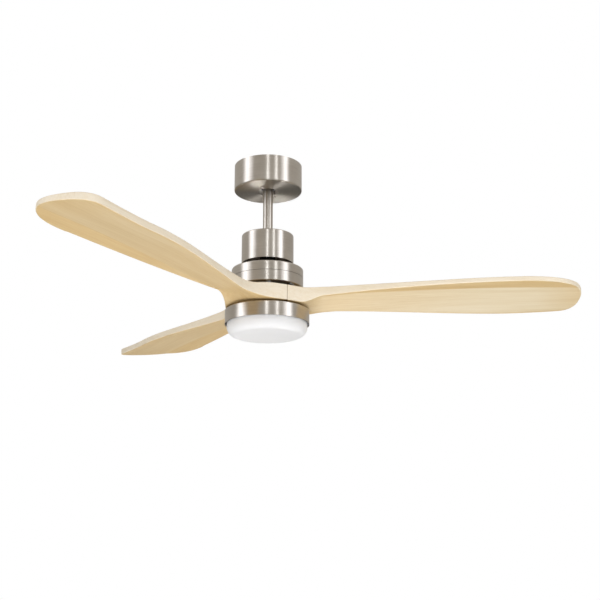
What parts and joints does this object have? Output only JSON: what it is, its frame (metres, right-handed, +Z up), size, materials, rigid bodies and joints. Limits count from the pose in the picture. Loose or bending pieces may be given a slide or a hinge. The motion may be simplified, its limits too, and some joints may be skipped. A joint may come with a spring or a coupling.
{
  "type": "ceiling fan with light",
  "caption": "Ceiling fan with carved wooden blades, a brushed nickel canopy, down rod and motor, and a round opal light below the blades.",
  "frame": {"origin": "on the fan's axis, in the plane of the ceiling", "axes": "+Z up along the down rod and the motor shaft into the ceiling, +X along blade_1"},
  "size_m": [1.0497, 1.1776, 0.376],
  "materials": {
    "brushed_nickel": "satin nickel plate, brushed round the axis",
    "zinc_steel": "bright zinc plate",
    "black_casting": "black powder coat over a die casting",
    "black_nylon": "moulded, fine matt texture",
    "white_plastic": "moulded, matt",
    "lamination_steel": "oiled lamination steel",
    "ferrite": "ground ferrite",
    "copper_wire": "enamelled copper wire",
    "circuit_board": "solder mask",
    "cable_jacket": "extruded jacket",
    "board_white": "white solder mask on an aluminium board",
    "led_phosphor": "cast silicone with phosphor",
    "opal_acrylic": "opal, satin",
    "bearing_steel": "ground and polished",
    "pale_wood": "sanded, clear matt lacquer"
  },
  "bodies": {
    "ceiling_mount": {"ceiling_bracket": "zinc_steel", "canopy": "brushed_nickel", "canopy_screws": "brushed_nickel", "receiver_box": "black_nylon", "terminal_block": "white_plastic"},
    "hanging_fan": {"hanger_ball": "black_nylon", "ball_pin": "zinc_steel", "ball_set_screw": "zinc_steel", "downrod": "brushed_nickel", "lead_connector": "white_plastic", "coupling_cover": "brushed_nickel", "cover_collar": "zinc_steel", "collar_screw": "zinc_steel", "motor_coupling": "black_casting", "coupling_pin": "zinc_steel", "pin_clip": "zinc_steel", "coupling_screws": "zinc_steel", "motor_shaft": "zinc_steel", "stator_core": "lamination_steel", "stator_windings": "copper_wire", "sensor_board": "circuit_board", "motor_leads": "cable_jacket", "light_cable": "cable_jacket", "shaft_circlip": "zinc_steel", "shaft_spacer": "zinc_steel", "light_housing": "brushed_nickel", "shaft_nut": "zinc_steel", "led_driver": "white_plastic", "board_standoffs": "zinc_steel", "led_board": "board_white", "leds": "led_phosphor", "board_screws": "zinc_steel", "bayonet_clips": "zinc_steel"},
    "rotor": {"motor_top_shell": "brushed_nickel", "motor_bottom_shell": "brushed_nickel", "rotor_back_iron": "lamination_steel", "rotor_magnets": "ferrite", "upper_bearing": "bearing_steel", "lower_bearing": "bearing_steel", "housing_screws": "zinc_steel", "blade_spacers": "zinc_steel", "blade_1": "pale_wood", "blade_2": "pale_wood", "blade_3": "pale_wood", "blade_plate": "zinc_steel", "blade_screws": "zinc_steel"},
    "shade": {"diffuser": "opal_acrylic"}
  },
  "joints": [
    {"name": "ball_tilt", "type": "hinge", "parent": "ceiling_mount", "child": "hanging_fan", "pos_m": [0, 0, -0.03], "axis": [0, 1, 0], "range_deg": [-15, 15]},
    {"name": "rotor_spin", "type": "hinge", "parent": "hanging_fan", "child": "rotor", "pos_m": [0, 0, -0.254], "axis": [0, 0, 1], "continuous": true},
    {"name": "diffuser_twist", "type": "hinge", "parent": "hanging_fan", "child": "shade", "pos_m": [0, 0, -0.35], "axis": [0, 0, 1], "range_deg": [-20, 0]}
  ]
}
